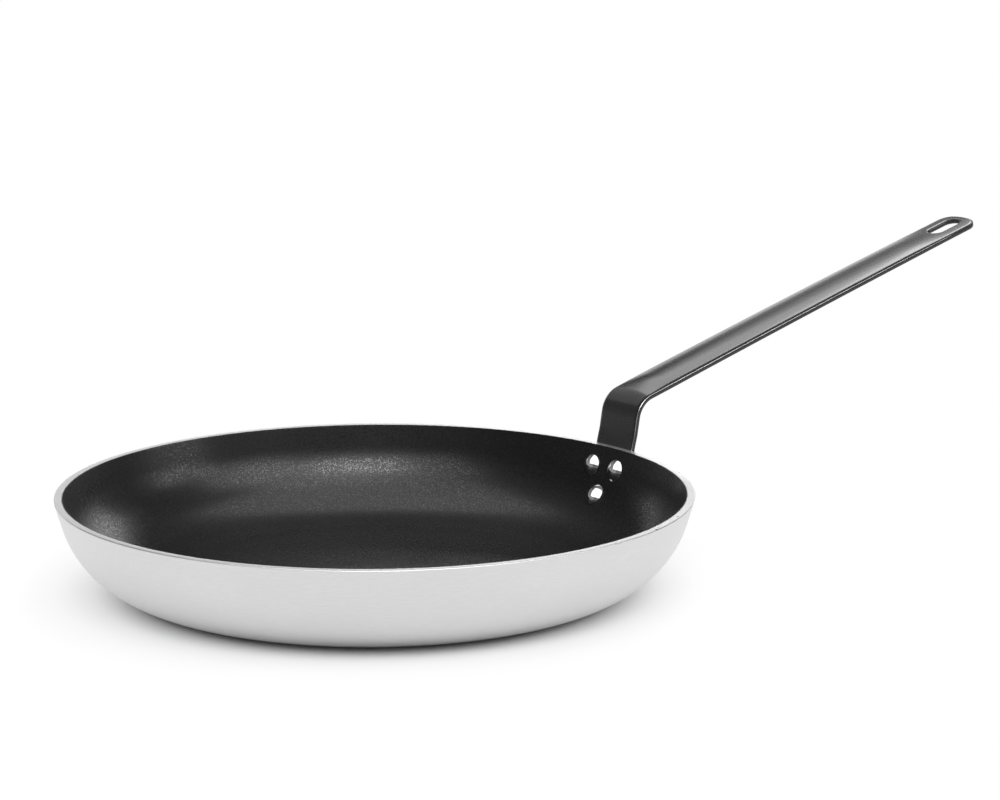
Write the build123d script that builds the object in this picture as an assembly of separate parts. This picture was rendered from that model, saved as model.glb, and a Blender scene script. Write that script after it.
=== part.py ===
from build123d import *
from math import cos, pi, radians, sin, tan
import os

# Omelette pan: a pressed aluminium bowl, its non-stick lining, a bent steel strip handle and three rivets.
# Millimetres and degrees. Origin at the middle of the base's underside, +X along the handle, +Z up.

# Bowl
rim_radius = 160.0
body_height = 49.0
wall_lean = 16.6
corner_radius = 51.5
sheet_thickness = 3.7
rim_round = 0.4
lining_thickness = 0.4

# Handle strip
strip_width = 28.0
tip_width = 25.1
strip_thickness = 2.8
riser_height = 25.95
riser_lean = 10.0
bend_radius = 14.5
grip_slope = 14.9
grip_length = 269.5
grip_bow = 0.55
arch_radius = 54.0
arch_run_in = 45.0
arch_run_out = 34.0
tip_bulge = 2.5
tip_corner_radius = 8.0
slot_length = 24.2
slot_width = 11.8
slot_margin = 4.0

# Rivets: drops are measured down the outside of the wall from the rim
upper_rivet_drop = 12.5
lower_rivet_drop = 28.7
rivet_spread = 18.4
shank_radius = 2.6
head_radius = 5.8
head_height = 2.6
head_edge = 0.5
tail_radius = 4.6
tail_height = 1.8
tail_edge = 0.4
flange_end_radius = 11.0

# Allowances for cuts, which leave no mark on the finished pieces
overrun = 5.0

# Share of the way in, and share of the full arch there, along each end of the grip
fade_shares = ((0.0, 0.0), (0.25, 0.16), (0.5, 0.5), (0.75, 0.84), (1.0, 1.0))

# The wall runs straight down from the rim until the corner's arc takes over and turns it into the flat base
wall_angle = pi / 2 - radians(wall_lean)
straight_length = (body_height - corner_radius * (1 - cos(wall_angle))) / sin(wall_angle)
base_radius = rim_radius - straight_length * cos(wall_angle) - corner_radius * sin(wall_angle)
lined_thickness = sheet_thickness + lining_thickness

lean = radians(riser_lean)
slope = radians(grip_slope)
turn = pi / 2 - lean - slope
grip_start = bend_radius * tan(turn / 2)


def skin_point(drop, depth):
    """Point and slope at a distance down the wall's outside, sunk by depth, in the handle's plane."""
    if drop <= straight_length:
        angle = wall_angle
        x = rim_radius - drop * cos(angle)
        z = body_height - drop * sin(angle)
    else:
        angle = wall_angle - (drop - straight_length) / corner_radius
        x = base_radius + corner_radius * sin(angle)
        z = corner_radius * (1 - cos(angle))
    return (x - depth * sin(angle), z + depth * cos(angle)), angle


def bowl_form(depth):
    """Everything inside the bowl's outer skin, moved inwards by depth, up to the plane of the rim."""
    radius = corner_radius - depth
    foot = (base_radius, depth)
    middle = (base_radius + radius * sin(wall_angle / 2), corner_radius - radius * cos(wall_angle / 2))
    shoulder, _ = skin_point(straight_length, depth)
    brim = (rim_radius - depth / sin(wall_angle), body_height)
    outline = Polyline((0, body_height), (0, depth), foot)
    outline += ThreePointArc(foot, middle, shoulder)
    outline += Polyline(shoulder, brim, (0, body_height))
    return revolve(Plane.XZ * make_face(outline), Axis.Z)


def rivet_plane(drop, lateral):
    """Plane on the wall's outside at a rivet, its normal into the bowl and its Y up the wall."""
    (x, z), angle = skin_point(drop, 0)
    return Plane(origin=(x, lateral, z), x_dir=(0, -1, 0), z_dir=(-sin(angle), 0, cos(angle)))


def shank(drop, lateral):
    """Shank of a rivet, ending inside its head and its tail."""
    low = -strip_thickness - tail_height / 2
    high = lined_thickness + head_height / 2
    body = extrude(Circle(shank_radius), amount=high - low)
    return rivet_plane(drop, lateral) * Pos(0, 0, low) * body


def dome(radius, height, edge, sink):
    """Low dome with a short upright edge, standing on the plane and sunk below it."""
    outline = Polyline((0, height), (0, -sink), (radius, -sink), (radius, edge))
    outline += TangentArc((0, height), (radius, edge), tangent=(1, 0))
    return revolve(Plane.XZ * make_face(outline), Axis.Z)


def flange():
    """Lower end of the strip, pressed to the bowl's outside, before its end is cut to shape."""
    lowest = lower_rivet_drop + flange_end_radius + overrun
    (low_x, _), _ = skin_point(lowest, 0)
    length = rim_radius + strip_thickness + overrun - low_x
    slab = Pos(low_x + length / 2, 0, body_height / 2) * Box(length, strip_width, body_height)
    return (bowl_form(-strip_thickness) - bowl_form(0)) & slab


def riser():
    """Riser and bend, from the plane of the rim to the start of the grip."""
    centre = bend_centre()
    front = [bend_point(centre, bend_radius, share) for share in (0, 0.5, 1)]
    back = [bend_point(centre, bend_radius - strip_thickness, share) for share in (1, 0.5, 0)]
    heel = (rim_radius, body_height)
    heel_back = (rim_radius + strip_thickness / cos(lean), body_height)
    outline = Line(heel, front[0])
    outline += ThreePointArc(*front)
    outline += Line(front[2], back[0])
    outline += ThreePointArc(*back)
    outline += Polyline(back[2], heel_back, heel)
    return extrude(Plane.XZ * make_face(outline), amount=strip_width / 2, both=True)


def bend_corner():
    """Corner where the lines of the riser's front and the grip's top meet."""
    return rim_radius + riser_height * tan(lean), body_height + riser_height


def bend_centre():
    """Centre of the bend between riser and grip."""
    x, z = bend_corner()
    x -= grip_start * sin(lean)
    z -= grip_start * cos(lean)
    return x + bend_radius * cos(lean), z - bend_radius * sin(lean)


def bend_point(centre, radius, share):
    """Point on an arc of the bend, from the riser at share 0 to the grip at share 1."""
    angle = pi - lean - turn * share
    return centre[0] + radius * cos(angle), centre[1] + radius * sin(angle)


def grip_plane(along):
    """Plane across the grip, a distance along its top from the bend's corner, following its slight bow."""
    x, z = bend_corner()
    share = (along - grip_start) / (grip_length - grip_start)
    bow = 4 * grip_bow * share * (1 - share)
    origin = (x + along * cos(slope) - bow * sin(slope), 0, z + along * sin(slope) + bow * cos(slope))
    return Plane(origin=origin, x_dir=(0, 1, 0), z_dir=(cos(slope), 0, sin(slope)))


def grip_section(along, share):
    """Cross-section of the grip, wider than the strip, arched by a share of the full arch."""
    half = strip_width / 2 + overrun
    edge_reach = (strip_width + (tip_width - strip_width) * along / grip_length) / 2
    rise = share * edge_reach**2 / (2 * arch_radius)
    if rise == 0:
        return grip_plane(along) * make_face(
            Polyline((-half, 0), (half, 0), (half, -strip_thickness), (-half, -strip_thickness), close=True)
        )
    radius = arch_radius / share
    angle = half / radius
    low = radius - strip_thickness
    edge = (radius * sin(angle), rise - radius * (1 - cos(angle)))
    low_edge = (low * sin(angle), rise - radius + low * cos(angle))
    outline = ThreePointArc((-edge[0], edge[1]), (0, rise), edge)
    outline += Line(edge, low_edge)
    outline += ThreePointArc(low_edge, (0, rise - strip_thickness), (-low_edge[0], low_edge[1]))
    outline += Line((-low_edge[0], low_edge[1]), (-edge[0], edge[1]))
    return grip_plane(along) * make_face(outline)


def grip_bar():
    """Grip before its outline is cut: flat at the bend, arched in the hand, flat again round the slot."""
    fade_out = grip_length - slot_margin - slot_length / 2
    arched_to = fade_out - arch_run_out
    sections = [grip_section(grip_start + arch_run_in * way, share) for way, share in fade_shares]
    sections += [grip_section((grip_start + arch_run_in + arched_to) / 2, 1)]
    sections += [grip_section(fade_out - arch_run_out * way, share) for way, share in reversed(fade_shares)]
    sections += [grip_section(grip_length + overrun, 0)]
    return loft(sections)


def grip_outline():
    """Plan of the grip: tapering sides and a gently curved end with round corners."""
    near = strip_width / 2
    far = tip_width / 2
    ending = grip_length - tip_bulge
    outline = Polyline((ending, far), (grip_start, near), (grip_start, -near), (ending, -far))
    outline += ThreePointArc((ending, -far), (grip_length, 0), (ending, far))
    face = make_face(outline)
    corners = face.vertices().sort_by(Axis.X)[-2:]
    return fillet(corners, tip_corner_radius)


def grip_top():
    """Plane of the grip's flat top, its X along the grip, from the bend's corner."""
    x, z = bend_corner()
    return Plane(origin=(x, 0, z), x_dir=(cos(slope), 0, sin(slope)), z_dir=(-sin(slope), 0, cos(slope)))


def grip():
    """Grip cut to its plan, with the hanging slot through its tip."""
    depth = strip_thickness + overrun
    plan = extrude(grip_outline(), amount=depth, both=True)
    slot_centre = grip_length - slot_margin - slot_length / 2
    slot = Pos(slot_centre, 0) * extrude(SlotOverall(slot_length, slot_width), amount=depth, both=True)
    return grip_bar() & (grip_top() * (plan - slot))


def flange_trim():
    """What is cut from the strip's lower end, to leave it tapering to a round end about the lower rivet."""
    shoulder = lower_rivet_drop - upper_rivet_drop
    end = Circle(flange_end_radius)
    top = Pos(0, shoulder + overrun / 2) * Rectangle(strip_width, overrun)
    shape = make_hull(end.edges() + top.edges())
    below = flange_end_radius + overrun * 2
    block = Pos(0, (shoulder - below) / 2) * Rectangle(strip_width + overrun, shoulder + below)
    plane = rivet_plane(lower_rivet_drop, 0)
    return plane * extrude(block - shape, amount=strip_thickness + overrun * 2, both=True)


def handle_blank():
    """The whole handle before its rivet holes."""
    return flange() - flange_trim() + riser() + grip()


def rivet(drop, lateral, lined_wall, blank):
    """One rivet: head on the lining, shank through the wall and the flange, tail formed behind the flange."""
    plane = rivet_plane(drop, lateral)
    head = plane * Pos(0, 0, lined_thickness) * dome(head_radius, head_height, head_edge, sheet_thickness / 2)
    tail = plane * Pos(0, 0, -strip_thickness) * Rot(180, 0, 0)
    tail *= dome(tail_radius, tail_height, tail_edge, strip_thickness / 2)
    return (head - lined_wall) + (tail - blank - lined_wall) + shank(drop, lateral)


def build_pieces():
    """All pieces by name, where they lie in the finished pan."""
    outer = bowl_form(0)
    inner = bowl_form(sheet_thickness)
    lined = bowl_form(lined_thickness)
    body = outer - inner
    rim_edge = body.edges().filter_by(GeomType.CIRCLE).group_by(Axis.Z)[-1].sort_by(SortBy.RADIUS)[-1]
    body = fillet(rim_edge, rim_round)
    blank = handle_blank()
    places = {
        "rivet_upper_left": (upper_rivet_drop, rivet_spread / 2),
        "rivet_upper_right": (upper_rivet_drop, -rivet_spread / 2),
        "rivet_lower": (lower_rivet_drop, 0),
    }
    shanks = [shank(*place) for place in places.values()]
    pieces = {
        "pan_body": body - shanks,
        "nonstick_coating": inner - lined - shanks,
        "handle": blank - shanks,
    }
    for name, place in places.items():
        pieces[name] = rivet(*place, outer - lined, blank)
    return pieces


os.makedirs("parts", exist_ok=True)
for name, piece in build_pieces().items():
    piece.label = name
    export_step(piece, f"parts/{name}.step")
    print(name, round(piece.volume), "mm3")
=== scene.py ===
from math import acos, asin, atan, atan2, cos, hypot, pi, radians, sin, sqrt, tan

import bmesh
import bpy
import numpy as np
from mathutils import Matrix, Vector


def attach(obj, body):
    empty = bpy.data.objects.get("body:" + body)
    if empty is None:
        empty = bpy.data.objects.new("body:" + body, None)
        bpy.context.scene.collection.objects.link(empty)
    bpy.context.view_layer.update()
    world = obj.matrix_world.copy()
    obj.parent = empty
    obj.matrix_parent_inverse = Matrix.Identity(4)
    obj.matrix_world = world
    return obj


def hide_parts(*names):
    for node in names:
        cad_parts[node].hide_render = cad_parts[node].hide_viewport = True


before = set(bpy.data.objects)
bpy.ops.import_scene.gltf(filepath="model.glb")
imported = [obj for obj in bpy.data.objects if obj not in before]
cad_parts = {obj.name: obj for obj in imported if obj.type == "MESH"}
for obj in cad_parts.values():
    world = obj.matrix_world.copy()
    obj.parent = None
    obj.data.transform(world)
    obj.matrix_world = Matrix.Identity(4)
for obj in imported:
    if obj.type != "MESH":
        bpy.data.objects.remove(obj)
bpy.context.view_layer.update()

mm = 0.001  # shapes are worked out in millimetres, and meshes are in metres
samePoint = 1e-6  # points nearer than this, in millimetres, are one


def grey(tone):
    return (tone, tone, tone, 1.0)


class Wire:
    # a socket that takes part in sums; each sum adds its own Math node
    def __init__(self, finish, socket):
        self.finish = finish
        self.socket = socket

    def sum(self, operation, first, second):
        return self.finish.node("Math", {"operation": operation}, {0: first, 1: second})

    def __add__(self, other):
        return self.sum("ADD", self, other)

    def __radd__(self, other):
        return self.sum("ADD", other, self)

    def __sub__(self, other):
        return self.sum("SUBTRACT", self, other)

    def __rsub__(self, other):
        return self.sum("SUBTRACT", other, self)

    def __mul__(self, other):
        return self.sum("MULTIPLY", self, other)

    def __rmul__(self, other):
        return self.sum("MULTIPLY", other, self)


class Finish:
    # one material, or the world, as a tree of nodes
    def __init__(self, owner):
        self.owner = owner
        owner.use_nodes = True
        self.nodes = owner.node_tree.nodes
        self.links = owner.node_tree.links
        self.nodes.clear()

    def node(self, kind, settings=None, values=None, output=0):
        # any node: its type, its settings, then the numbers, colours or links of its sockets
        made = self.nodes.new("ShaderNode" + kind)
        for name, value in (settings or {}).items():
            if name == "stops":
                while len(made.color_ramp.elements) < len(value):
                    made.color_ramp.elements.new(1.0)
                for stop, (place, tone) in zip(made.color_ramp.elements, value):
                    stop.position = place
                    stop.color = grey(tone)
            else:
                setattr(made, name, value)
        for name, value in (values or {}).items():
            if isinstance(value, Wire):
                self.links.new(value.socket, made.inputs[name])
            else:
                made.inputs[name].default_value = value
        return made if output is None else Wire(self, made.outputs[output])

    def place(self):
        return self.node("TexCoord", output="Object")

    def vector(self, operation, first, second=(0.0, 0.0, 0.0)):
        return self.node("VectorMath", {"operation": operation}, {0: first, 1: second})

    def stretched(self, vector, scale):
        return self.vector("MULTIPLY", vector, scale)

    def noise(self, vector, scale, detail=2.0, roughness=0.5):
        values = {"Vector": vector, "Scale": scale, "Detail": detail, "Roughness": roughness}
        return self.node("TexNoise", None, values)

    def ramp(self, value, *stops):
        return self.node("ValToRGB", {"stops": stops}, {0: value})

    def fade(self, value, low, high):
        # 0 below low, 1 above high, smooth between them
        settings = {"interpolation_type": "SMOOTHSTEP"}
        return self.node("MapRange", settings, {"Value": value, "From Min": low, "From Max": high})

    def mixed(self, share, first, second):
        return self.node("Mix", {"data_type": "RGBA"}, {0: share, 6: first, 7: second}, 2)

    def greys(self, share, first, second):
        return self.mixed(share, grey(first), grey(second))

    def bump(self, height, distance, strength, below=None):
        values = {"Height": height, "Distance": distance, "Strength": strength}
        if below is not None:
            values["Normal"] = below
        return self.node("Bump", None, values)

    def close(self, shader, surface="OutputMaterial"):
        self.node(surface, None, {"Surface": shader}, output=None)


def gridFaces(rows, columns, start=0, closed=False):
    # quads between neighbouring rows of points; a closed grid joins its last column to its first
    row = np.arange(rows - 1)[:, None] * columns + start
    column = np.arange(columns if closed else columns - 1)[None, :]
    following = (column + 1) % columns
    corners = [row + column, row + following, row + columns + following, row + columns + column]
    return np.stack(corners, -1).reshape(-1, 4)


def makePiece(name, grids, finish, weld=0.001, worn=None):
    # one object from grids of points in millimetres, each (points, closed), welded where they meet;
    # worn gives, grid by grid, how bare each point is rubbed
    points, faces, start = [], [], 0
    for grid, closed in grids:
        rows, columns = grid.shape[:2]
        points.append(grid.reshape(-1, 3))
        faces.append(gridFaces(rows, columns, start, closed))
        start += rows * columns
    mesh = bpy.data.meshes.new(name)
    mesh.from_pydata((np.concatenate(points) * mm).tolist(), [], np.concatenate(faces).tolist())
    if worn is not None:
        wear = np.concatenate([rub.ravel() for rub in worn])
        mesh.attributes.new("wear", "FLOAT", "POINT").data.foreach_set("value", wear)
    form = bmesh.new()
    form.from_mesh(mesh)
    bmesh.ops.remove_doubles(form, verts=form.verts, dist=weld * mm)
    bmesh.ops.recalc_face_normals(form, faces=form.faces)
    for face in form.faces:
        face.smooth = True
    form.to_mesh(mesh)
    form.free()
    mesh.materials.append(finish)
    piece = bpy.data.objects.new(name, mesh)
    bpy.context.scene.collection.objects.link(piece)
    return piece


def revolved(profile, around):
    # each profile point (radius, height) carried round the Z axis: x = r cos a, y = r sin a
    turn = np.linspace(0, 2 * pi, around, endpoint=False)
    radius, height = profile[:, :1], profile[:, 1:]
    return np.stack([radius * np.cos(turn), radius * np.sin(turn), height + 0 * turn], -1)


def arc(centre, radius, fromAngle, toAngle, steps):
    # centre + radius (cos a, sin a), a in even steps
    angle = np.linspace(fromAngle, toAngle, steps)
    return np.stack([centre[0] + radius * np.cos(angle), centre[1] + radius * np.sin(angle)], -1)


def line(first, last, steps):
    share = np.linspace(0, 1, steps)[:, None]
    return np.array(first) * (1 - share) + np.array(last) * share


def joined(*runs):
    # runs of points in order, without the point that two neighbours share
    points = np.concatenate(runs)
    apart = np.hypot(*np.diff(points, axis=0).T) > samePoint
    return points[np.concatenate([[True], apart])]


def roundedCorner(corner, before, after, radius, steps):
    # arc of the given radius that touches the two straight runs meeting at a corner
    before, after = np.array(before), np.array(after)
    half = acos(float(before @ after)) / 2
    middle = (before + after) / np.hypot(*(before + after))
    centre = np.array(corner) + middle * radius / sin(half)
    first = np.array(corner) + before * radius / tan(half) - centre
    last = np.array(corner) + after * radius / tan(half) - centre
    fromAngle = atan2(first[1], first[0])
    turn = (atan2(last[1], last[0]) - fromAngle + pi) % (2 * pi) - pi
    return arc(centre, radius, fromAngle, fromAngle + turn, steps)


def smooth(share):
    # 3 s s - 2 s s s, held at 0 and 1 outside
    share = np.clip(share, 0, 1)
    return share * share * (3 - 2 * share)


bowl = {
    "rimRadius": 160.0,
    "height": 49.0,
    "wallLean": 16.6,
    "cornerRadius": 51.5,
    "sheet": 3.7,
    "lining": 0.4,
    "rimRound": 0.4,
    "innerRound": 0.12,
    "liningRound": 0.14,
    "around": 512,
    "floorSteps": 26,
    "cornerSteps": 46,
    "wallSteps": 12,
    "edgeSteps": 7,
    "rimSteps": 4,
}
wallAngle = pi / 2 - radians(bowl["wallLean"])
cornerDrop = bowl["cornerRadius"] * (1 - cos(wallAngle))
straight = (bowl["height"] - cornerDrop) / sin(wallAngle)
footRadius = bowl["rimRadius"] - straight * cos(wallAngle) - bowl["cornerRadius"] * sin(wallAngle)
upWall = (cos(wallAngle), sin(wallAngle))
downWall = (-cos(wallAngle), -sin(wallAngle))
linedDepth = bowl["sheet"] + bowl["lining"]


def brimRadius(depth):
    return bowl["rimRadius"] - depth / sin(wallAngle)


def skin(depth, margin):
    # the bowl's outer skin sunk by depth, from the middle of the base to a margin below the rim
    radius = bowl["cornerRadius"] - depth
    floor = line((0, depth), (footRadius, depth), bowl["floorSteps"])
    middle = (footRadius, bowl["cornerRadius"])
    corner = arc(middle, radius, -pi / 2, wallAngle - pi / 2, bowl["cornerSteps"])
    top = (brimRadius(depth) + downWall[0] * margin, bowl["height"] + downWall[1] * margin)
    return joined(floor, corner, line(corner[-1], top, bowl["wallSteps"]))


def rimEdge(depth, radius, outside):
    # rounded edge between a wall and the flat of the rim, from the wall to the flat
    flat = (-1.0, 0.0) if outside else (1.0, 0.0)
    return roundedCorner((brimRadius(depth), bowl["height"]), downWall, flat, radius, bowl["edgeSteps"])


def shell(outerDepth, innerDepth, outerRound, innerRound):
    # closed section of one layer of the bowl: up its outside, over its rim, and down its inside
    outerEdge = rimEdge(outerDepth, outerRound, True)
    innerEdge = rimEdge(innerDepth, innerRound, False)[::-1]
    outer = skin(outerDepth, hypot(*(outerEdge[0] - (brimRadius(outerDepth), bowl["height"]))))
    inner = skin(innerDepth, hypot(*(innerEdge[-1] - (brimRadius(innerDepth), bowl["height"]))))
    flat = line(outerEdge[-1], innerEdge[0], bowl["rimSteps"])
    return joined(outer, outerEdge, flat, innerEdge, inner[::-1])


strip = {
    "width": 28.0,
    "tipWidth": 25.1,
    "thickness": 2.8,
    "riserHeight": 25.95,
    "riserLean": 10.0,
    "bendRadius": 14.5,
    "gripSlope": 14.9,
    "gripLength": 269.5,
    "gripBow": 0.55,
    "archRadius": 54.0,
    "archStart": 9.0,
    "archIn": 26.0,
    "archOut": 40.0,
    "archLeft": 0.45,
    "tipBulge": 2.5,
    "tipCorner": 8.0,
    "slotLength": 24.2,
    "slotWidth": 11.8,
    "slotMargin": 4.0,
    "lowerDrop": 28.7,
    "shoulderDrop": 12.5,
    "endRadius": 11.0,
    "shoulderRound": 20.0,
    "taperRound": 300.0,
    "rollWidth": 1.9,
    "rollDrop": 0.42,
    "cornerRound": 0.32,
    "backRound": 0.5,
    "edgeSteps": 7,
    "rollSteps": 10,
    "wornArc": (0.15, 0.95),
    "wornUpTo": 285.0,
    "wornFade": 20.0,
    "slotRoll": 1.5,
    "slotInside": 1.1,
    "slotDrop": 0.5,
    "flattening": 9.0,
    "easing": 1.2,
    "fine": 0.05,
    "overrun": 6.0,
    "cornerRounds": 8,
    # where each spacing of rows across the strip starts, and the spacing
    "rows": ((0, 0.6), (18, 0.8), (72, 0.7), (108, 1.6), (150, 2.6)),
    "columns": 28,
    "sideColumns": 12,
    "slotSteps": 10,
    "farSteps": 22,
    "ringRows": 9,
    "ringGap": 9.0,
    "ringReach": 5.0,
}
lean = radians(strip["riserLean"])
slope = radians(strip["gripSlope"])
bendTurn = pi / 2 - lean - slope
bendReach = strip["bendRadius"] * tan(bendTurn / 2)
riserRun = strip["riserHeight"] / cos(lean) - bendReach
gripAt = riserRun + strip["bendRadius"] * bendTurn
gripRun = strip["gripLength"] - bendReach
tipAt = gripAt + gripRun
slotEnd = tipAt - strip["slotMargin"]
slotRadius = strip["slotWidth"] / 2
slotFar = slotEnd - slotRadius
slotNear = slotEnd - strip["slotLength"] + slotRadius
ringAt = slotNear - slotRadius - strip["ringGap"]


def headings(run):
    # direction of travel along the strip's front, above the horizontal: up the bowl's wall,
    # up the riser, round the bend and out along the grip with its slight bow
    drop = -run
    wall = wallAngle - np.clip(drop - straight, 0, None) / bowl["cornerRadius"]
    bend = pi / 2 - lean - np.clip(run - riserRun, 0, gripAt - riserRun) / strip["bendRadius"]
    share = np.clip((run - gripAt) / gripRun, 0, 1)
    bow = np.arctan(4 * strip["gripBow"] * (1 - 2 * share) / gripRun)
    heading = np.where(run < 0, wall, np.where(run < gripAt, bend, slope + bow))
    width = int(strip["easing"] / strip["fine"])
    padded = np.pad(heading, width, mode="edge")
    return np.convolve(padded, np.ones(2 * width + 1) / (2 * width + 1), mode="valid")


def stripLine():
    # the front's line in the handle's plane: the headings summed step by step from the rim
    low = -(strip["lowerDrop"] + strip["endRadius"] + strip["overrun"])
    run = np.arange(low, tipAt + strip["overrun"], strip["fine"])
    run -= run[np.argmin(abs(run))]
    heading = headings(run)
    middle = (heading[1:] + heading[:-1]) / 2
    x = np.concatenate([[0], np.cumsum(np.cos(middle) * np.diff(run))])
    z = np.concatenate([[0], np.cumsum(np.sin(middle) * np.diff(run))])
    rim = np.argmin(abs(run))
    return run, x - x[rim] + bowl["rimRadius"], z - z[rim] + bowl["height"], heading


stripRuns, stripX, stripZ, stripHeadings = stripLine()


def stripPoint(run, across, depth):
    # a place in the strip: along its front, across it, and below its front or top face;
    # the grip's faces are arcs about one line, and the flange's follow the bowl's roundness
    x = np.interp(run, stripRuns, stripX)
    z = np.interp(run, stripRuns, stripZ)
    heading = np.interp(run, stripRuns, stripHeadings)
    along = run - gripAt + bendReach
    fadeOut = strip["gripLength"] - strip["slotMargin"] - strip["slotLength"] / 2
    share = smooth((run - gripAt + strip["archStart"]) / strip["archIn"])
    share *= strip["archLeft"] + (1 - strip["archLeft"]) * smooth((fadeOut - along) / strip["archOut"])
    edge = (strip["width"] + (strip["tipWidth"] - strip["width"]) * along / strip["gripLength"]) / 2
    curve = share / strip["archRadius"]
    low = 1 - curve * depth
    sag = curve * across**2 / (low + np.sqrt(low**2 - (curve * across) ** 2))
    lift = curve * edge**2 / 2 - depth - sag
    x = x - np.sin(heading) * lift
    z = z + np.cos(heading) * lift
    roundness = across**2 / (x + np.sqrt(x**2 - across**2)) * (1 - smooth(run / strip["flattening"]))
    return np.stack([x - roundness, across, z], -1)


def halfOutline():
    # half of the strip's plan, from the flange's lowest point to the tip, as runs of even curvature:
    # round end, tangent side, eased shoulder, straight side, taper, round corner, bulged tip
    toShoulder = hypot(strip["lowerDrop"] - strip["shoulderDrop"], strip["width"] / 2)
    shoulderTurn = atan2(strip["width"] / 2, strip["lowerDrop"] - strip["shoulderDrop"])
    touch = shoulderTurn + acos(strip["endRadius"] / toShoulder)
    flare = touch - pi / 2
    ease = strip["shoulderRound"] * tan(flare / 2)
    side = sqrt(toShoulder**2 - strip["endRadius"] ** 2) - ease
    half, tipHalf = strip["width"] / 2, strip["tipWidth"] / 2
    ending = strip["gripLength"] - strip["tipBulge"]
    taper = atan((half - tipHalf) / (ending - bendReach))
    bulge = (tipHalf**2 + strip["tipBulge"] ** 2) / (2 * strip["tipBulge"])
    bulgeAt = strip["gripLength"] - bulge
    # the corner's centre is a corner radius inside both the tapering side and the bulge
    centre = half - strip["tipCorner"] / cos(taper)
    for _ in range(strip["cornerRounds"]):
        reach = bulgeAt + sqrt((bulge - strip["tipCorner"]) ** 2 - centre**2)
        centre = half - tan(taper) * (reach - bendReach) - strip["tipCorner"] / cos(taper)
    bulgeTurn = asin(centre / (bulge - strip["tipCorner"]))
    taperRun = (reach + strip["tipCorner"] * sin(taper) - bendReach) / cos(taper)
    taperEase = strip["taperRound"] * tan(taper / 2)
    return [
        (strip["endRadius"] * (pi - touch), -1 / strip["endRadius"]),
        (side, 0),
        (strip["shoulderRound"] * flare, -1 / strip["shoulderRound"]),
        (gripAt + strip["shoulderDrop"] - ease - taperEase, 0),
        (strip["taperRound"] * taper, -1 / strip["taperRound"]),
        (taperRun - taperEase, 0),
        (strip["tipCorner"] * (pi / 2 - bulgeTurn - taper), -1 / strip["tipCorner"]),
        (bulge * bulgeTurn, -1 / bulge),
    ]


def tracedOutline():
    # the half outline as points, outward normals and distances, traced from its curvatures
    places, bends, last = [np.zeros(1)], [], 0.0
    for length, curvature in halfOutline():
        steps = int(length / strip["fine"]) + 1
        places.append(np.linspace(last, last + length, steps + 1)[1:])
        bends.append(np.full(steps, curvature))
        last += length
    places, curvature = np.concatenate(places), np.concatenate(bends)
    heading = pi / 2 + np.concatenate([[0], np.cumsum(curvature * np.diff(places))])
    midway = (heading[1:] + heading[:-1]) / 2
    run = np.concatenate([[0], np.cumsum(np.cos(midway) * np.diff(places))])
    across = np.concatenate([[0], np.cumsum(np.sin(midway) * np.diff(places))])
    run += -strip["lowerDrop"] - strip["endRadius"]
    across[-1] = 0.0
    normals = np.stack([-np.sin(heading), np.cos(heading)], -1)
    return places, np.stack([run, across], -1), normals


def picked(places, values, at):
    return np.stack([np.interp(at, places, values[:, k]) for k in range(values.shape[1])], -1)


def mirrored(points):
    return points * np.array([1.0, -1.0])


def backCorner():
    # (inset, depth) of the quarter circle between a side and the back face
    angle = np.linspace(pi / 2, 0, strip["edgeSteps"])
    inset = strip["backRound"] * (1 - np.sin(angle))
    return np.stack([inset, strip["thickness"] - strip["backRound"] * (1 - np.cos(angle))], -1)


def slotSection():
    # (inset, depth) round the slot's edge: rolled in from the front face in a parabola, then its wall
    share = np.linspace(0, 1, strip["rollSteps"])
    roll = np.stack([strip["slotRoll"] * (1 - share), strip["slotDrop"] * share**2], -1)
    return np.concatenate([roll, backCorner()])


def edgeSection():
    # (inset, depth) round the strip's edge: the shears rolled its front face down in a parabola,
    # then a tight corner, the side, and a wider corner to the back face; and how bare each row is
    width, drop, corner = strip["rollWidth"], strip["rollDrop"], strip["cornerRound"]
    share = np.linspace(0, 1, strip["rollSteps"])
    roll = np.stack([width - (width - corner) * share, drop * share**2], -1)
    lower = backCorner()
    tilt = np.linspace(atan(2 * drop / (width - corner)), pi / 2, strip["edgeSteps"])
    turned = np.stack([-np.sin(tilt), -np.cos(tilt)], -1) * corner
    turned += (0, drop) - turned[0] + (corner, 0)
    turned[:, 0] -= turned[-1, 0] * np.linspace(0, 1, len(tilt))
    bare = np.sin(np.linspace(*strip["wornArc"], len(tilt)) * pi)
    worn = np.concatenate([np.zeros(len(roll) - 1), bare, np.zeros(len(lower))])
    return np.concatenate([roll[:-1], turned, lower]), worn


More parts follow.
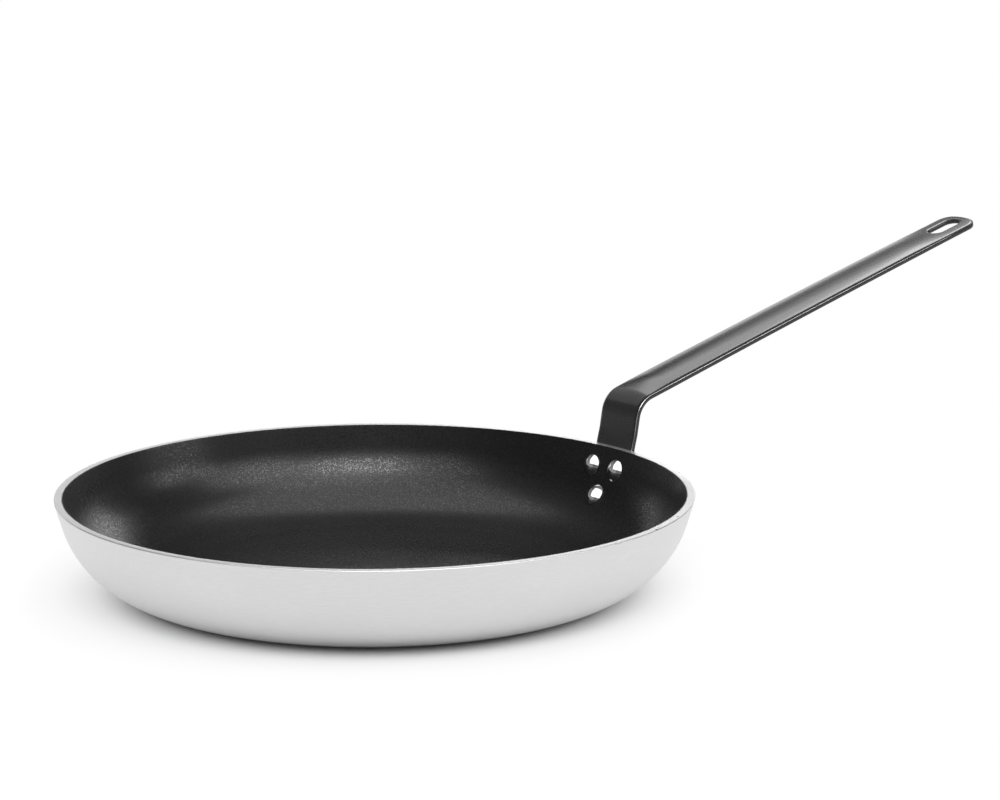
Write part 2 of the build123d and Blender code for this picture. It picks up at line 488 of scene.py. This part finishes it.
def stripGrids():
    places, outline, normals = tracedOutline()
    section, worn = edgeSection()
    inset = outline - normals * strip["rollWidth"]
    ringPlace = np.interp(ringAt, inset[:, 0], places)
    # closer stations round the flange's end and the bend, wider ones along the grip
    wanted = [first for first, _ in strip["rows"]] + [ringPlace]
    runs = []
    for (first, spacing), last in zip(strip["rows"], wanted[1:]):
        runs.append(np.linspace(first, last, int((last - first) / spacing) + 1))
    ladder = np.unique(np.concatenate(runs))
    # ring: rays from the slot, square to its edge, meet the inset outline
    cornerTurn = atan2(np.interp(ringPlace, places, inset[:, 1]), slotNear - ringAt)
    nearTurns = np.linspace(-cornerTurn, cornerTurn, strip["columns"] + 1)
    sideTurns = np.linspace(cornerTurn, pi / 2, strip["sideColumns"])
    runsFlat = np.linspace(slotNear, slotFar, strip["slotSteps"])
    farTurns = np.linspace(pi / 2, 0, strip["farSteps"])
    late = places > ringPlace - strip["ringReach"]
    nearPolar = np.arctan2(inset[late, 1], slotNear - inset[late, 0])
    sidePlaces = np.interp(sideTurns, nearPolar, places[late])
    flatPlaces = np.interp(runsFlat, inset[late, 0], places[late])
    farPolar = np.arctan2(inset[late, 1], inset[late, 0] - slotFar)
    farPlaces = np.interp(-farTurns, -farPolar, places[late])
    slotTurns = np.concatenate([pi - sideTurns, np.full(len(runsFlat) - 2, pi / 2), farTurns])
    slotCentres = np.concatenate([0 * sideTurns + slotNear, runsFlat[1:-1], 0 * farTurns + slotFar])
    ringPlaces = np.concatenate([sidePlaces, flatPlaces[1:-1], farPlaces])
    ringPlaces[0], ringPlaces[-1] = ringPlace, places[-1]
    slotHalf = np.stack([slotCentres, 0 * slotCentres], -1)
    slotNormals = np.stack([np.cos(slotTurns), np.sin(slotTurns)], -1)
    # whole loops: the near end of the slot, one half, then its mirror image backwards
    across = np.tan(nearTurns) / tan(cornerTurn)
    nearNormals = np.stack([-np.cos(nearTurns), np.sin(nearTurns)], -1)
    nearCentres = np.stack([0 * nearTurns + slotNear, 0 * nearTurns], -1)
    hub = np.concatenate([nearCentres, slotHalf[1:], slotHalf[-2:0:-1]])
    away = np.concatenate([nearNormals, slotNormals[1:], mirrored(slotNormals[-2:0:-1])])
    slotEdge = slotSection()
    opening = slotRadius - strip["slotInside"]
    share = np.linspace(0, 1, strip["ringRows"])[:, None, None]
    solid, rubbed = [], []

    def addGrid(plan, depth, closed, worn=None):
        solid.append((stripPoint(plan[..., 0], plan[..., 1], depth), closed))
        rubbed.append(np.zeros(plan.shape[:2]) if worn is None else worn)

    for margin, depth in ((strip["rollWidth"], 0), (strip["backRound"], strip["thickness"])):
        inset = outline - normals * margin
        half = picked(places, inset, ringPlaces)
        near = np.stack([half[0, 0] + 0 * across, half[0, 1] * across], -1)
        outer = np.concatenate([near, half[1:], mirrored(half[-2:0:-1])])
        inner = hub + away * (opening + (strip["slotRoll"] if depth == 0 else strip["backRound"]))
        addGrid(inner * (1 - share) + outer * share, depth, True)
        # ladder: rows straight across, from one side's inset outline to the other's
        sides = picked(places, inset, ladder)
        addGrid(np.stack([sides[:, :1] + 0 * across, sides[:, 1:] * across], -1), depth, False)
    # edges: the outline and the slot, carried round their sections; the tip is hardly rubbed
    chain = np.concatenate([ladder, ringPlaces[1:]])
    chainPoints, chainNormals = picked(places, outline, chain), picked(places, normals, chain)
    chainPoints = np.concatenate([chainPoints, mirrored(chainPoints[-2:0:-1])])
    chainNormals = np.concatenate([chainNormals, mirrored(chainNormals[-2:0:-1])])
    chainNormals /= np.hypot(*chainNormals.T)[:, None]
    edge = chainPoints - chainNormals * section[:, :1, None]
    handled = smooth((strip["wornUpTo"] - chainPoints[:, 0]) / strip["wornFade"])
    addGrid(edge, section[:, 1:], True, worn[:, None] * handled)
    addGrid(hub + away * (opening + slotEdge[:, :1, None]), slotEdge[:, 1:], True)
    return solid, rubbed


rivets = {
    "upperDrop": 12.5,
    "lowerDrop": 28.7,
    "spread": 18.4,
    "shankRadius": 2.6,
    "headRadius": 5.8,
    "headHeight": 2.6,
    "headEdge": 0.5,
    "headEase": 0.35,
    "tailRadius": 4.6,
    "tailHeight": 1.8,
    "tailEdge": 0.4,
    "tailEase": 0.25,
    "around": 96,
    "footSteps": 4,
    "sideSteps": 3,
    "easeSteps": 7,
    "domeSteps": 18,
    "settleRounds": 4,
    # the bars that cut the holes: points round them, and their ends along the shank
    "cutterAround": 48,
    "cutterEnds": (-12.0, 14.0),
}
rivetPlaces = {
    "rivet_upper_left": (rivets["upperDrop"], rivets["spread"] / 2),
    "rivet_upper_right": (rivets["upperDrop"], -rivets["spread"] / 2),
    "rivet_lower": (rivets["lowerDrop"], 0.0),
}


def rivetAxes(drop, lateral):
    # a rivet's foot on the bowl's outer skin, and its directions: across, up the wall, into the bowl
    if drop <= straight:
        angle = wallAngle
        x = bowl["rimRadius"] - drop * cos(angle)
        z = bowl["height"] - drop * sin(angle)
    else:
        angle = wallAngle - (drop - straight) / bowl["cornerRadius"]
        x = footRadius + bowl["cornerRadius"] * sin(angle)
        z = bowl["cornerRadius"] * (1 - cos(angle))
    axes = np.array([(0, -1, 0), (cos(angle), 0, sin(angle)), (-sin(angle), 0, cos(angle))])
    return np.array([x, lateral, z]), axes


def bowlDepth(points):
    # how far points lie inside the bowl's outer skin: its wall's line, or its corner's arc lower down
    radius, height = np.hypot(points[..., 0], points[..., 1]), points[..., 2]
    fromMiddle = np.hypot(radius - footRadius, height - bowl["cornerRadius"])
    corner = bowl["cornerRadius"] - fromMiddle
    wall = (bowl["rimRadius"] - radius) * upWall[1] + (height - bowl["height"]) * upWall[0]
    onWall = (radius - footRadius) * upWall[0] + (height - bowl["cornerRadius"]) * upWall[1] > 0
    return np.where(onWall, wall, corner)


def domeProfile(radius, height, edge, ease):
    # (radius, height) from the foot of a rivet's head up its short edge and over its dome
    bulge = (radius**2 + (height - edge) ** 2) / (2 * (height - edge))
    slant = asin(radius / bulge)
    turned = (-cos(slant), sin(slant))
    corner = roundedCorner((radius, edge), (0.0, -1.0), turned, ease, rivets["easeSteps"])
    start = atan2(corner[-1][0], corner[-1][1] - (height - bulge))
    over = np.linspace(start, 0, rivets["domeSteps"])
    dome = np.stack([bulge * np.sin(over), height - bulge + bulge * np.cos(over)], -1)
    dome[0] = corner[-1]
    return joined(line((radius, 0.0), corner[0], rivets["sideSteps"]), corner, dome)


def rivetGrid(drop, lateral):
    # section carried round the shank's axis; the undersides of head and tail follow the bowl
    foot, axes = rivetAxes(drop, lateral)
    sides = []
    for end in ("tail", "head"):
        radius = rivets[end + "Radius"]
        dome = domeProfile(radius, rivets[end + "Height"], rivets[end + "Edge"], rivets[end + "Ease"])
        underside = line((rivets["shankRadius"], 0), (radius, 0), rivets["footSteps"])
        sides.append(np.concatenate([underside, dome[1:]]))
    tail, head = sides[0][::-1] * (1, -1), sides[1]
    radius, height = np.split(np.concatenate([tail, head]), 2, axis=1)
    depth = np.repeat([-strip["thickness"], linedDepth], [len(tail), len(head)])[:, None]
    turn = np.linspace(0, 2 * pi, rivets["around"], endpoint=False)
    local = np.stack([radius * np.cos(turn), radius * np.sin(turn), 0 * turn + depth], -1)
    # each point is moved along the shank until its foot lies at its depth in the bowl
    for _ in range(rivets["settleRounds"]):
        local[..., 2] += depth - bowlDepth(foot + local @ axes)
    # the dome itself stays true: only the part near its foot bends with the bowl
    share = np.clip(abs(height) / rivets["headEdge"], 0, 1)
    local[..., 2] = (local[..., 2] + height) * (1 - share) + (depth + height) * share
    return foot + local @ axes


print("stage: shapes ready")


aluminium = {
    # noises: scale, detail, roughness
    "streaks": (30.0, 3.0, 0.6),
    "bands": (3.0, 2.0),
    "spots": (900.0, 2.0),
    # how far along the noise a metre of the bowl's profile goes
    "streakRise": 60.0,
    "bandRise": 8.0,
    # roughness: the least, and what streaks, bands and the rim add
    "rough": (0.27, 0.10, 0.06, 0.04),
    "toneShares": (0.7, 0.3),
    "toneStops": ((0.3, 0.0), (0.7, 1.0)),
    "tones": (0.66, 0.73),
    # reliefs: distance in metres and strength
    "streakRelief": (0.00002, 0.5),
    "spotRelief": (0.000008, 0.3),
    "rimHeights": (0.0486, 0.0489),
    "rimTone": 0.86,
    # handling marks on the rim: tone, the share of the reach that is darkest, then place and reach
    "nickTone": 0.16,
    "nickCore": 0.25,
    "nicks": (
        ((0.1443, -0.0684, 0.049), 0.0012),
        ((0.0787, -0.1372, 0.049), 0.0011),
        ((0.0531, -0.1500, 0.049), 0.0013),
        ((0.0560, -0.1487, 0.049), 0.0008),
    ),
}


def aluminiumFinish():
    # bare aluminium: fine streaks round the bowl, a brighter turned rim with a few handling marks
    finish = Finish(bpy.data.materials.new("bareAluminium"))
    place = finish.place()
    height = finish.node("SeparateXYZ", None, {0: place}, "Z")
    flatPlace = finish.stretched(place, (1.0, 1.0, 0.0))
    radius = finish.node("VectorMath", {"operation": "LENGTH"}, {0: flatPlace}, "Value")
    around = finish.vector("NORMALIZE", flatPlace)
    profile = radius + height

    def banded(noise, rise):
        # noise that runs round the bowl and changes along its profile
        lifted = finish.node("CombineXYZ", None, {"Z": profile * rise})
        return finish.noise(finish.vector("ADD", around, lifted), *noise)

    streaks = banded(aluminium["streaks"], aluminium["streakRise"])
    bands = banded(aluminium["bands"], aluminium["bandRise"])
    spots = finish.noise(place, *aluminium["spots"])
    onRim = finish.fade(height, *aluminium["rimHeights"])
    least, fromStreaks, fromBands, fromRim = aluminium["rough"]
    rough = least + streaks * fromStreaks + bands * fromBands + onRim * fromRim
    streakShare, bandShare = aluminium["toneShares"]
    share = finish.ramp(streaks * streakShare + bands * bandShare, *aluminium["toneStops"])
    tone = finish.greys(share, *aluminium["tones"])
    relief = finish.bump(streaks, *aluminium["streakRelief"])
    relief = finish.bump(spots, *aluminium["spotRelief"], relief)
    rimTone = grey(aluminium["rimTone"])
    for spot, reach in aluminium["nicks"]:
        away = finish.node("VectorMath", {"operation": "DISTANCE"}, {0: place, 1: spot}, "Value")
        clear = finish.fade(away, aluminium["nickCore"] * reach, reach)
        rimTone = finish.mixed(clear, grey(aluminium["nickTone"]), rimTone)
    shader = finish.node("BsdfPrincipled", None, {
        "Base Color": finish.mixed(onRim, tone, rimTone), "Metallic": 1.0,
        "Roughness": rough, "Normal": relief,
    })
    finish.close(shader)
    return finish.owner


nonstick = {
    "peel": (1300.0, 2.0, 0.6),
    "clouds": (25.0, 3.0),
    "grainScale": 2700.0,
    # the chance above which a cell starts to be a grain, and above which it is one
    "grainChances": (0.66, 0.92),
    "grainTone": 0.08,
    "tones": (0.004, 0.010),
    # roughness: the least, what clouds add and what grains take away
    "rough": (0.33, 0.04, 0.16),
    "peelRelief": (0.00005, 0.5),
    "specular": 0.45,
}


def liningFinish():
    # baked non-stick coat: near black, fine orange peel, with fine grains that glint in the light
    finish = Finish(bpy.data.materials.new("blackNonstick"))
    place = finish.place()
    peel = finish.noise(place, *nonstick["peel"])
    clouds = finish.noise(place, *nonstick["clouds"])
    cellValues = {"Vector": place, "Scale": nonstick["grainScale"]}
    cell = finish.node("TexVoronoi", {"feature": "F1"}, cellValues, "Color")
    chance = finish.node("SeparateXYZ", None, {0: cell}, "X")
    grains = finish.fade(chance, *nonstick["grainChances"])
    tone = finish.greys(clouds, *nonstick["tones"])
    least, fromClouds, fromGrains = nonstick["rough"]
    shader = finish.node("BsdfPrincipled", None, {
        "Base Color": finish.mixed(grains, tone, grey(nonstick["grainTone"])), "Metallic": grains,
        "Roughness": least + clouds * fromClouds - grains * fromGrains,
        "Normal": finish.bump(peel, *nonstick["peelRelief"]),
        "Specular IOR Level": nonstick["specular"],
    })
    finish.close(shader)
    return finish.owner


epoxy = {
    "peel": (700.0, 2.0, 0.5),
    "clouds": (40.0, 3.0),
    "patches": (160.0, 3.0, 0.6),
    # how unevenly the corner is rubbed, and the wear between which the metal comes through
    "unevenness": 0.8,
    "bareWear": (0.55, 0.85),
    "bareTone": 0.75,
    "toneShares": (0.5, 0.5),
    "toneStops": ((0.35, 0.0), (0.65, 1.0)),
    "tones": (0.015, 0.021),
    # roughness: the least, and what clouds and bare metal add
    "rough": (0.18, 0.05, 0.06),
    "peelRelief": (0.00002, 0.3),
}


def epoxyFinish():
    # baked epoxy on the steel strip: dark grey, half gloss, slight orange peel, rubbed bare at the corner
    finish = Finish(bpy.data.materials.new("greyEpoxy"))
    place = finish.place()
    peel = finish.noise(place, *epoxy["peel"])
    clouds = finish.noise(place, *epoxy["clouds"])
    patches = finish.noise(place, *epoxy["patches"])
    wear = finish.node("Attribute", {"attribute_name": "wear"}, output="Fac")
    bare = finish.fade(wear + (patches - 0.5) * epoxy["unevenness"], *epoxy["bareWear"])
    peelShare, cloudShare = epoxy["toneShares"]
    share = finish.ramp(peel * peelShare + clouds * cloudShare, *epoxy["toneStops"])
    tone = finish.greys(share, *epoxy["tones"])
    least, fromClouds, fromBare = epoxy["rough"]
    shader = finish.node("BsdfPrincipled", None, {
        "Base Color": finish.mixed(bare, tone, grey(epoxy["bareTone"])), "Metallic": bare,
        "Roughness": least + clouds * fromClouds + bare * fromBare,
        "Normal": finish.bump(peel, *epoxy["peelRelief"]),
    })
    finish.close(shader)
    return finish.owner


rivetMetal = {
    "stretch": (1.0, 3.0, 1.0),
    "marks": (1500.0, 3.0, 0.6),
    "tones": (0.66, 0.74),
    # roughness: the least, and what the marks add
    "rough": (0.05, 0.10),
    "markRelief": (0.00001, 0.3),
}


def rivetFinish():
    # polished rivet metal with faint scratches
    finish = Finish(bpy.data.materials.new("rivetMetal"))
    marks = finish.noise(finish.stretched(finish.place(), rivetMetal["stretch"]), *rivetMetal["marks"])
    least, fromMarks = rivetMetal["rough"]
    shader = finish.node("BsdfPrincipled", None, {
        "Base Color": finish.greys(marks, *rivetMetal["tones"]), "Metallic": 1.0,
        "Roughness": least + marks * fromMarks,
        "Normal": finish.bump(marks, *rivetMetal["markRelief"]),
    })
    finish.close(shader)
    return finish.owner


finishes = {
    "body": aluminiumFinish(),
    "lining": liningFinish(),
    "handle": epoxyFinish(),
    "rivets": rivetFinish(),
}
print("stage: finishes ready")


def shankCutters():
    # the rivets' shanks as plain bars, to cut their holes
    low, high = rivets["cutterEnds"]
    radius = rivets["shankRadius"]
    section = np.array([(0.0, low), (radius, low), (radius, high), (0.0, high)])
    bar = revolved(section, rivets["cutterAround"])
    cutters = []
    for name, (drop, lateral) in rivetPlaces.items():
        foot, axes = rivetAxes(drop, lateral)
        cutters.append(makePiece("cut_" + name, [(foot + bar @ axes, True)], finishes["rivets"]))
    return cutters


def drilled(piece, cutters):
    # the piece with the rivets' holes cut through it
    for cutter in cutters:
        cut = piece.modifiers.new("hole", "BOOLEAN")
        cut.operation = "DIFFERENCE"
        cut.solver = "EXACT"
        cut.object = cutter
    shown = piece.evaluated_get(bpy.context.evaluated_depsgraph_get())
    mesh = bpy.data.meshes.new_from_object(shown)
    mesh.name = piece.name
    piece.modifiers.clear()
    piece.data = mesh
    return piece


def settle(piece, node):
    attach(piece, "root")
    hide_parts(node)


sheetShell = shell(0, bowl["sheet"], bowl["rimRound"], bowl["innerRound"])
liningShell = shell(bowl["sheet"], linedDepth, bowl["innerRound"], bowl["liningRound"])
cutters = shankCutters()
panBody = makePiece("panBody", [(revolved(sheetShell, bowl["around"]), True)], finishes["body"])
lining = makePiece("nonstickLining", [(revolved(liningShell, bowl["around"]), True)], finishes["lining"])
stripSolid, stripWorn = stripGrids()
handle = makePiece("stripHandle", stripSolid, finishes["handle"], worn=stripWorn)
for piece, node, slot in (
    (panBody, "pan_body", "body_aluminium"),
    (lining, "nonstick_coating", "nonstick_lining"),
    (handle, "handle", "handle_epoxy"),
):
    settle(drilled(piece, cutters), node)
for cutter in cutters:
    bpy.data.objects.remove(cutter)
for node, place in rivetPlaces.items():
    first, *others = node.split("_")
    name = first + "".join(word.capitalize() for word in others)
    piece = makePiece(name, [(rivetGrid(*place), True)], finishes["rivets"])
    settle(piece, node)
print("stage: pieces ready")


studio = {
    "floorSize": 30.0,
    "floorGrey": 0.80,
    # the share of painted glow in the floor at distances from the middle, in metres: none near the pan,
    # where its shadow shows, rising outwards to an even white that lifts the outer part of the shadow
    "floorPaintedGlow": ((0.0, 0.0), (0.12, 0.0), (0.14, 0.52), (0.16, 0.74), (0.22, 0.78), (0.45, 1.0)),
    "cameraTurn": -40.0,
    # how bright the surroundings are, by the sine of the height above the horizon
    "surroundings": ((0.0, 0.22), (0.20, 0.18), (0.35, 0.07), (0.60, 0.10), (0.90, 0.20), (1.0, 0.20)),
    "lampsAimAt": (0.0, 0.0, 0.03),
}
# lamps: turn from the camera's side towards its right, rise, distance, width and height, radiance;
# angles in degrees and distances in metres
softboxes = {
    "bigBox": (14, 56, 2.7, 78, 36, 1.35),
    "topBox": (0, 96, 2.6, 60, 50, 1.3),
    "keyBox": (11, 49, 2.6, 30, 21, 4.4),
    "rightBox": (64, 40, 2.6, 38, 26, 1.5),
    "lowBox": (90, 22, 2.6, 26, 16, 2.2),
    "sideBox": (160, 17, 2.6, 34, 18, 3.3),
    "backBox": (188, 12, 2.6, 74, 13, 1.35),
    "rimBox": (166, 13, 2.6, 28, 14, 1.1),
    "farBox": (-104, 18, 2.6, 90, 40, 0.17),
    "gripBox": (172, 49, 2.6, 30, 24, 2.2),
    "gripTip": (160, 44, 2.6, 14, 22, 4.4),
    "gripHalo": (190, 48, 2.6, 84, 34, 0.65),
    "gripFill": (168, 22, 2.6, 24, 26, 0.30),
    "rivetBox": (-50, 54, 2.6, 84, 60, 1.7),
    "floorBox": (-54, 46, 2.6, 90, 36, 0.8),
}
# flags keep these lamps' light to the pieces named; the others light everything
bowlPieces = ("panBody", "nonstickLining", "floor")
flaggedLight = {
    "bigBox": bowlPieces + ("stripHandle",),
    "topBox": bowlPieces,
    "keyBox": bowlPieces + ("stripHandle",),
    "sideBox": ("nonstickLining", "floor"),
    "rimBox": ("panBody",),
    "farBox": ("stripHandle", "rivetUpperLeft", "rivetUpperRight", "rivetLower"),
    "gripBox": ("stripHandle", "floor"),
    "gripTip": ("stripHandle",),
    "gripHalo": ("stripHandle", "floor"),
    "gripFill": ("stripHandle", "floor"),
    "rivetBox": ("rivetUpperLeft", "rivetUpperRight", "rivetLower"),
    "floorBox": ("floor",),
}


def makeFloor():
    # pale paper that takes the pan's shadow, with a painted glow that is missing near the pan and rises
    # outwards into an even white, lightening the outer part of that shadow
    half = studio["floorSize"] / 2
    grid = np.array([[(-half, -half, 0), (half, -half, 0)], [(-half, half, 0), (half, half, 0)]]) / mm
    finish = Finish(bpy.data.materials.new("paperFloor"))
    away = finish.node("VectorMath", {"operation": "LENGTH"}, {0: finish.place()}, "Value")
    paper = finish.node("BsdfDiffuse", None, {"Color": grey(studio["floorGrey"])})
    paintedGlow = finish.node("Emission", None, {"Color": grey(1.0), "Strength": 1.0})
    # the painted glow is seen directly, in reflections and through gaps, but lights nothing by itself
    path = finish.node("LightPath", output=None)
    sights = ("Is Camera Ray", "Is Glossy Ray", "Is Transmission Ray")
    seen = sum(Wire(finish, path.outputs[sight]) for sight in sights)
    # painted light: the glow's share rises with distance from the pan, fading the pan's shadow out
    share = finish.ramp(away, *studio["floorPaintedGlow"]) * seen
    shader = finish.node("MixShader", None, {0: share, 1: paper, 2: paintedGlow})
    finish.close(shader)
    floor = makePiece("floor", [(grid, False)], finish.owner)


def makeWorld():
    # grey at the horizon, darker above it and grey again overhead
    world = bpy.data.worlds.new("studio")
    bpy.context.scene.world = world
    finish = Finish(world)
    direction = finish.node("TexCoord", output="Generated")
    up = finish.node("SeparateXYZ", None, {0: direction}, "Z")
    strength = finish.ramp(up, *studio["surroundings"])
    shader = finish.node("Background", None, {"Color": grey(1.0), "Strength": strength})
    finish.close(shader, "OutputWorld")


def softbox(name, turn, rise, distance, width, height, radiance):
    # a flat lamp facing the pan, of the given angular width and height seen from it
    light = bpy.data.lights.new(name, "AREA")
    light.shape = "RECTANGLE"
    light.size = 2 * distance * tan(radians(width) / 2)
    light.size_y = 2 * distance * tan(radians(height) / 2)
    light.energy = radiance * pi * light.size * light.size_y
    lamp = bpy.data.objects.new(name, light)
    bpy.context.scene.collection.objects.link(lamp)
    side = radians(studio["cameraTurn"] + turn)
    rise = radians(rise)
    away = Vector((sin(side) * cos(rise), -cos(side) * cos(rise), sin(rise)))
    lamp.location = Vector(studio["lampsAimAt"]) + away * distance
    lamp.rotation_mode = "QUATERNION"
    lamp.rotation_quaternion = away.to_track_quat("Z", "Y")
    lamp.visible_camera = False
    return lamp


view = {
    "place": (-1.0789, -1.3831, 0.46311),
    "tilt": 90 - 11.857,
    "turn": -40.0,
    "focalLength": 129.6,
    "sensorWidth": 36.0,
    "shift": (-0.0005, 0.0005),
    "clip": (0.05, 60.0),
}


def makeCamera():
    lens = bpy.data.cameras.new("camera")
    lens.lens = view["focalLength"]
    lens.sensor_width = view["sensorWidth"]
    lens.shift_x, lens.shift_y = view["shift"]
    lens.clip_start, lens.clip_end = view["clip"]
    camera = bpy.data.objects.new("camera", lens)
    bpy.context.scene.collection.objects.link(camera)
    camera.location = view["place"]
    camera.rotation_euler = (radians(view["tilt"]), 0.0, radians(view["turn"]))
    bpy.context.scene.camera = camera


makeFloor()
makeWorld()
lamps = {name: softbox(name, *place) for name, place in softboxes.items()}
for lampName, pieceNames in flaggedLight.items():
    litPieces = bpy.data.collections.new(lampName + "Light")
    for pieceName in pieceNames:
        litPieces.objects.link(bpy.data.objects[pieceName])
    lamps[lampName].light_linking.receiver_collection = litPieces
makeCamera()
bpy.context.scene.view_settings.view_transform = "Standard"
print("stage: studio ready")
